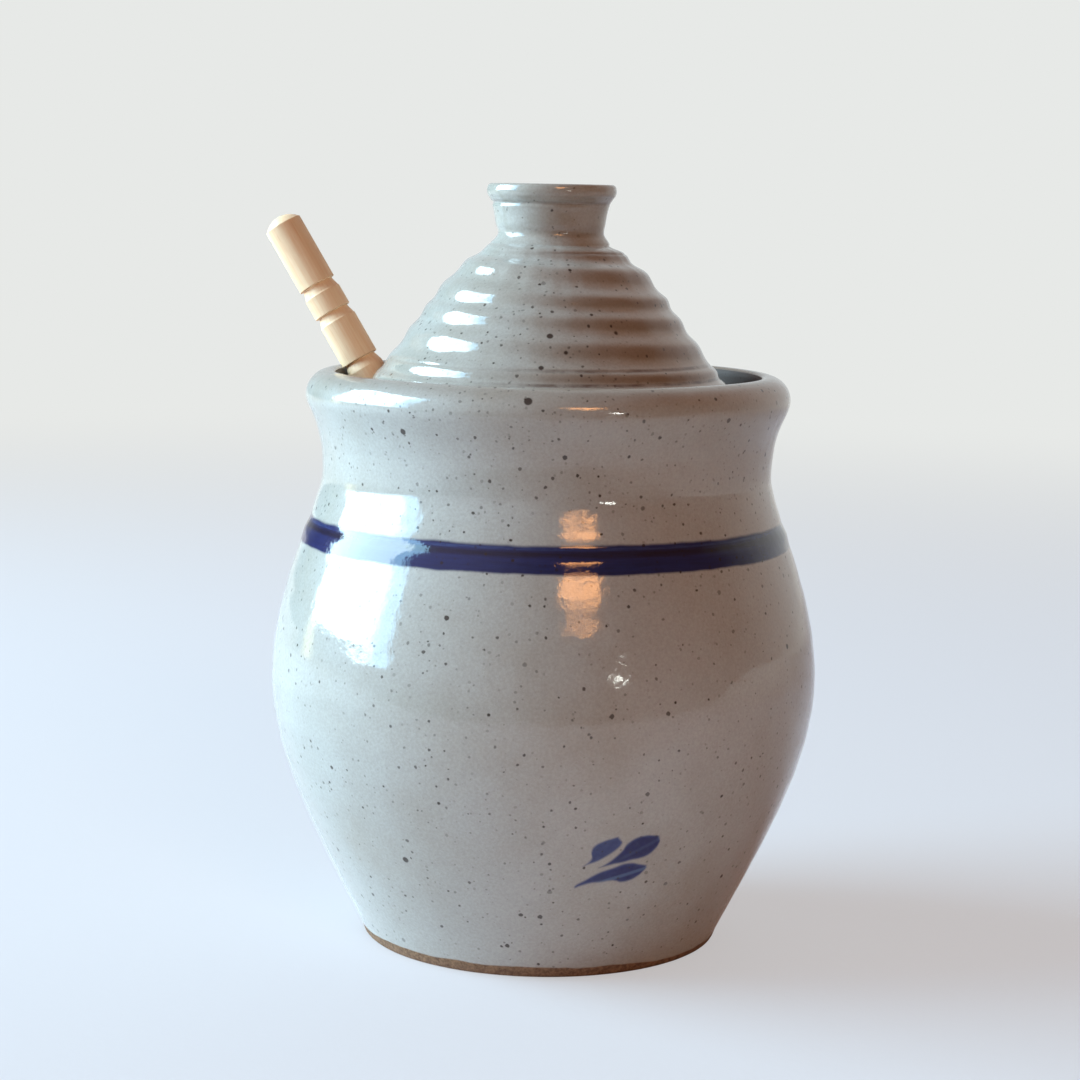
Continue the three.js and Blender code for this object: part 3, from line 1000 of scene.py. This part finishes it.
def stroke(t, girth, height, leaf):
    """One brush stroke: depth inside its edge, share along it and distance beside its middle line."""
    base = leaf["base"]
    way = at(*leaf["tip"]) - at(*base)
    length = way.length
    way /= length
    x = t.maths("SUBTRACT", girth, base[0])
    y = t.maths("SUBTRACT", height, base[1])
    along = t.sum(t.product(x, way.x / length), t.product(y, way.y / length))
    side = t.maths("SUBTRACT", t.product(y, way.x), t.product(x, way.y))
    above = t.maths("SUBTRACT", profile(t, along, leaf["upper"]), side)
    below = t.sum(profile(t, along, leaf["lower"]), side)
    ends = t.product(t.maths("MINIMUM", along, t.maths("SUBTRACT", 1.0, along)), length)
    depth = t.maths("MINIMUM", t.maths("MINIMUM", above, below), ends)
    return depth, along, side


def paint_sprig(t, place, turn, height, body):
    """Three leaves, each one brush stroke that is paler at its edge and along a streak."""
    girth = t.product(turn, SPRIG_RADIUS)
    wash = t.noise(place, 1.1, detail=3, roughness=0.6)
    for leaf in SPRIG:
        depth, along, side = stroke(t, girth, height, leaf)
        deep = t.maths("MULTIPLY_ADD", wash, 0.9, leaf["strength"] - 0.42)
        deep = t.maths("MULTIPLY", deep, t.ramp(depth, 0.0, 0.9, 0.35, 1.0), clamp=True)
        near_streak = t.ramp(t.away(side, STREAK_SIDE), 0.1, 0.6, leaf["streak"], 0.0)
        pale = t.product(near_streak, t.ramp(along, 0.2, 0.45))
        tone = t.blend(pale, t.blend(deep, LEAF_PALE, LEAF_DARK), LEAF_STREAK)
        body = t.blend(t.ramp(depth, -0.3, 0.4, 0.0, 0.97), body, tone)
    return body


def thin_rim_and_shade(t, place, across, height, body):
    """The glaze breaks to a rusty brown where it runs thin over the rim; on the crest, painted shade
    makes it browner towards the right.
    """
    wander = t.maths("MULTIPLY_ADD", t.noise(place, 5, detail=3), 3.0, -1.5)
    thin = t.ramp(t.sum(height, wander), JAR_HEIGHT - 3.5, JAR_HEIGHT - 0.1, 0.0, 0.3)
    crest = t.ramp(height, JAR_HEIGHT - 0.9, JAR_HEIGHT - 0.2)
    # Painted shade: the crest's brown grows towards the right, away from the window
    crest = t.product(crest, t.ramp(across, -20 * MM, 20 * MM, 0.15, 0.6))
    return t.blend(t.maths("MAXIMUM", thin, crest), body, RUST_AND_SHADE)


def bare_foot(t, place, across, height, body):
    """Bare sandy clay under the glaze's wandering lower edge. Gives also where it is bare."""
    edge = t.ramp(across, -5 * MM, 30 * MM, 1.6, 0.6)
    edge = t.maths("MULTIPLY_ADD", t.noise(place, 13, detail=3), 1.8, edge)
    bare = t.ramp(t.maths("SUBTRACT", height, edge), -0.2, 0.2, 1.0, 0.0)
    sandy = t.blend(t.ramp(t.noise(place, 0.8, detail=3, roughness=0.7), 0.3, 0.7), CLAY_DARK, CLAY)
    return t.blend(bare, body, sandy), bare


def jar_glaze():
    """Speckled grey glaze with a blue band and a blue sprig, bare clay at the foot, and painted shade
    that darkens the inside.
    """
    material = bpy.data.materials.new("jar_glaze")
    t = Tree(material)
    place = t.add("TexCoord").outputs["Object"]
    across, behind, up = t.add("SeparateXYZ", {0: place}).outputs
    height = t.maths("DIVIDE", up, MM)
    turn = t.maths("ARCTAN2", across, t.product(behind, -1.0))
    inside = t.attribute("mark", "Fac")
    body = glaze_base(t, place, 0.0)
    body = paint_band(t, place, height, body)
    body = paint_sprig(t, place, turn, height, body)
    body = thin_rim_and_shade(t, place, across, height, body)
    # Painted shade: the whole inside is darkened
    body = t.blend(inside, body, INSIDE_PAINTED_SHADE)
    density = t.ramp(height, 60, 108, 0.95, 1.5)
    body, pits = add_specks(t, place, body, marked_spots(t, place, JAR_SPECKS), density)
    body, bare = bare_foot(t, place, across, height, body)
    seat = t.product(inside, t.ramp(height, LEDGE_HEIGHT - 6, LEDGE_HEIGHT - 3, 0.0, 0.8))
    finish_glaze(t, place, body, pits, t.maths("MAXIMUM", bare, seat))
    return material


def brown_break_and_shade(t, place, across, body):
    """The glaze breaks to a rusty brown just under the ridge's crests, with painted shade added there;
    painted shade also makes it strongest at the right, away from the window.
    """
    ragged = t.noise(t.stretched(place, 1, 1, 2), 6, detail=3)
    brownness = t.sum(t.attribute("mark", "Fac"), t.maths("MULTIPLY_ADD", ragged, 0.5, -0.25))
    # Painted shade: more brown on the right, away from the window
    amount = t.ramp(across, -10 * MM, 24 * MM, 0.08, 0.62)
    return t.blend(t.product(t.ramp(brownness, 0.35, 1.0), amount), body, RUST_AND_SHADE)


def stain_and_shade_lines(t, place, across, rise, body):
    """Broken brown in the tool lines and under the knob's lip: iron staining and painted shade, fading
    out towards the lit left.
    """
    clouds = t.noise(t.stretched(place, 1, 1, 3), 5, detail=3, roughness=0.6)
    broken = t.ramp(clouds, 0.35, 0.62, 0.35, 1.0)
    # Painted shade: the lines darken only towards the right, away from the window
    reached = t.product(broken, t.ramp(across, -22 * MM, 8 * MM))
    for line_rise, _, _, _, _, line_darkening in TOOL_LINES:
        line = t.ramp(t.away(rise, line_rise), 0.1, 0.5, line_darkening, 0.0)
        body = t.blend(t.product(line, reached), body, STAIN_AND_SHADE)
    return body


def lid_glaze():
    """Speckled warm grey glaze, brown where it runs thin, with painted shade under the crests and in the
    tool lines, most at the right.
    """
    material = bpy.data.materials.new("lid_glaze")
    t = Tree(material)
    place = t.add("TexCoord").outputs["Object"]
    across, _, up = t.add("SeparateXYZ", {0: place}).outputs
    rise = t.maths("SUBTRACT", t.maths("DIVIDE", up, MM), LID_BOTTOM)
    knob_rise = KNOB_FOOT - LID_BOTTOM
    body = glaze_base(t, place, 0.12)
    body = brown_break_and_shade(t, place, across, body)
    body = stain_and_shade_lines(t, place, across, rise, body)
    density = t.ramp(rise, knob_rise - 6, knob_rise + 1, 1.4, 0.45)
    body, pits = add_specks(t, place, body, marked_spots(t, place, LID_SPECKS), density)
    finish_glaze(t, place, body, pits, 0.0)
    return material


def dipper_wood():
    """Bare pale hardwood, its grain along the dipper."""
    material = bpy.data.materials.new("dipper_wood")
    t = Tree(material)
    place = t.attribute("own_place", "Vector")
    fibre = t.noise(t.stretched(place, 1, 1, 0.03), 0.35, detail=3, roughness=0.6)
    growth = t.noise(t.stretched(place, 1, 0.35, 0.04), 2.2, detail=2)
    tone = t.sum(t.product(fibre, 0.5), t.product(growth, 0.5))
    body = t.blend(t.ramp(tone, 0.3, 0.72), WOOD_PALE, WOOD_DARK)
    flecks = t.noise(t.stretched(place, 1, 1, 0.12), 0.5, detail=2)
    body = t.blend(t.ramp(flecks, 0.64, 0.76, 0.0, 0.22), body, WOOD_FLECK)
    bump = t.bump(fibre, *WOOD_BUMP)
    rough = t.ramp(growth, 0.3, 0.7, 0.5, 0.62)
    shader = t.first("BsdfPrincipled", {"Base Color": body, "Roughness": rough, "Normal": bump})
    t.add("OutputMaterial", {"Surface": shader})
    return material


# Pieces

def dress(piece, node, body, material):
    piece.data.materials.clear()
    piece.data.materials.append(material)
    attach(piece, body)
    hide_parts(node)


def make_jar():
    piece = turned("glazed_jar", JAR_POINTS, JAR_SEGMENTS, jar_shape, jar_mark)
    dress(piece, "jar", "jar", jar_glaze())


def make_lid():
    piece = turned("glazed_lid", LID_POINTS, LID_SEGMENTS, lid_shape, lid_mark)
    cut(piece, notch_cutter())
    soften_notch(piece, NOTCH_ROUND)
    dress(piece, "lid", "lid", lid_glaze())


def make_dipper():
    """Turned upright, then leant. Its grain follows the places that its points had upright."""
    piece = turned("turned_dipper", dipper_outline(), DIPPER_SEGMENTS)
    own = piece.data.attributes.new("own_place", "FLOAT_VECTOR", "POINT")
    for vert, spot in zip(piece.data.vertices, own.data):
        spot.vector = vert.co
        vert.co = PLACE_DIPPER @ (vert.co / MM) * MM
    dress(piece, "dipper", "dipper", dipper_wood())


# Stage

def make_camera():
    data = bpy.data.cameras.new("camera")
    data.sensor_width = SENSOR_WIDTH
    data.lens = LENS
    camera = bpy.data.objects.new("camera", data)
    bpy.context.scene.collection.objects.link(camera)
    place = Matrix.Translation(Vector(CAMERA_PLACE) * MM)
    tilt = Matrix.Rotation(math.radians(90 - CAMERA_DOWN), 4, "X")
    camera.matrix_world = place @ tilt @ Matrix.Rotation(math.radians(CAMERA_ROLL), 4, "Z")
    bpy.context.scene.camera = camera
    bpy.context.scene.view_settings.view_transform = "Standard"


def near_floor(t, place, seen):
    """A pale cloth: plain for the light that it throws back, lifted for the camera."""
    tone = t.blend(seen, FLOOR_TONE, FLOOR_SEEN)
    cloth = t.noise(place, 2.5, detail=3, roughness=0.6)
    bump = t.bump(cloth, *CLOTH_BUMP)
    lit = t.first("BsdfDiffuse", {"Color": tone, "Normal": bump})
    lift = t.first("Emission", {"Color": FLOOR_LIFT, "Strength": seen})
    return t.first("AddShader", {0: lit, 1: lift})


def floor_material():
    """The near floor fades into the backdrop, and into a dim room for what the pot mirrors in front."""
    material = bpy.data.materials.new("pale_floor")
    t = Tree(material)
    place = t.add("TexCoord").outputs["Object"]
    rays = t.add("LightPath").outputs
    seen = rays["Is Camera Ray"]
    near = near_floor(t, place, seen)
    distance = t.add("VectorMath", {0: place}, operation="LENGTH").outputs["Value"]
    far = t.product(t.ramp(distance, *FLOOR_FADE), t.maths("MAXIMUM", seen, rays["Is Glossy Ray"]))
    glow = t.first("Emission", {"Color": BACKDROP})
    table = t.first("MixShader", {0: far, 1: near, 2: glow})
    forward = t.add("SeparateXYZ", {0: place}).outputs["Y"]
    past_edge = t.ramp(forward, TABLE_EDGE - EDGE_BLUR, TABLE_EDGE, 1.0, 0.0)
    past_edge = t.product(past_edge, t.maths("SUBTRACT", 1.0, seen))
    room = t.first("Emission", {"Color": DIM_ROOM})
    t.add("OutputMaterial", {"Surface": t.first("MixShader", {0: past_edge, 1: table, 2: room})})
    return material


def make_floor():
    """A wide round floor."""
    verts = [(0, 0, 0)]
    for ring in FLOOR_RINGS:
        angles = [math.tau * k / FLOOR_SPOKES for k in range(FLOOR_SPOKES)]
        verts += [(ring * math.cos(angle), ring * math.sin(angle), 0) for angle in angles]
    faces = []
    for k in range(FLOOR_SPOKES):
        n = (k + 1) % FLOOR_SPOKES
        faces.append((0, 1 + k, 1 + n))
        for i in range(1, len(FLOOR_RINGS)):
            outer = 1 + i * FLOOR_SPOKES
            inner = outer - FLOOR_SPOKES
            faces.append((inner + k, outer + k, outer + n, inner + n))
    floor = new_object("floor", verts, faces)
    floor.data.materials.append(floor_material())


def make_room():
    """Soft light from a pale wall behind and from the left, faint and warm from above and the right."""
    world = bpy.data.worlds.new("room")
    bpy.context.scene.world = world
    t = Tree(world)
    way = t.add("TexCoord").outputs["Generated"]
    light = (0, 0, 0, 1)
    for turn, rise, tint in ROOM_LIGHT:
        inputs = {0: way, 1: direction(turn, rise)}
        facing = t.add("VectorMath", inputs, operation="DOT_PRODUCT").outputs["Value"]
        light = t.blend(t.ramp(facing, 0.35, 1.0), light, (*tint, 1), "ADD")
    seen = t.add("LightPath").outputs["Is Camera Ray"]
    background = t.first("Background", {"Color": t.blend(seen, light, BACKDROP), "Strength": 1.0})
    t.add("OutputWorld", {"Surface": background})


def area_light(name, place, target, width, height, power, tint):
    data = bpy.data.lights.new(name, "AREA")
    data.shape = "RECTANGLE"
    data.size = width
    data.size_y = height
    data.energy = power
    data.color = tint
    lamp = bpy.data.objects.new(name, data)
    bpy.context.scene.collection.objects.link(lamp)
    lamp.location = place
    lamp.rotation_euler = (Vector(target) - Vector(place)).to_track_quat("-Z", "Y").to_euler()
    lamp.visible_camera = False


def make_lights():
    """A tall window on the left, and a warm lamp and a small white one behind the camera."""
    for name, (forward, up, width, height, power, tint) in WINDOW_LAMPS.items():
        place, target = (WINDOW_SIDE, forward, up), (0, forward, up)
        area_light(name, place, target, width, height, power, tint)
    for name, (turn, rise, width, height, power) in WARM_LAMPS.items():
        place = WARM_AIM + direction(turn, rise) * WARM_DISTANCE
        area_light(name, place, WARM_AIM, width, height, power, WARM_TINT)
    area_light("white_lamp", WHITE_PLACE, WHITE_AIM, *WHITE_LAMP)


make_camera()
make_floor()
make_room()
make_lights()
make_jar()
make_lid()
make_dipper()
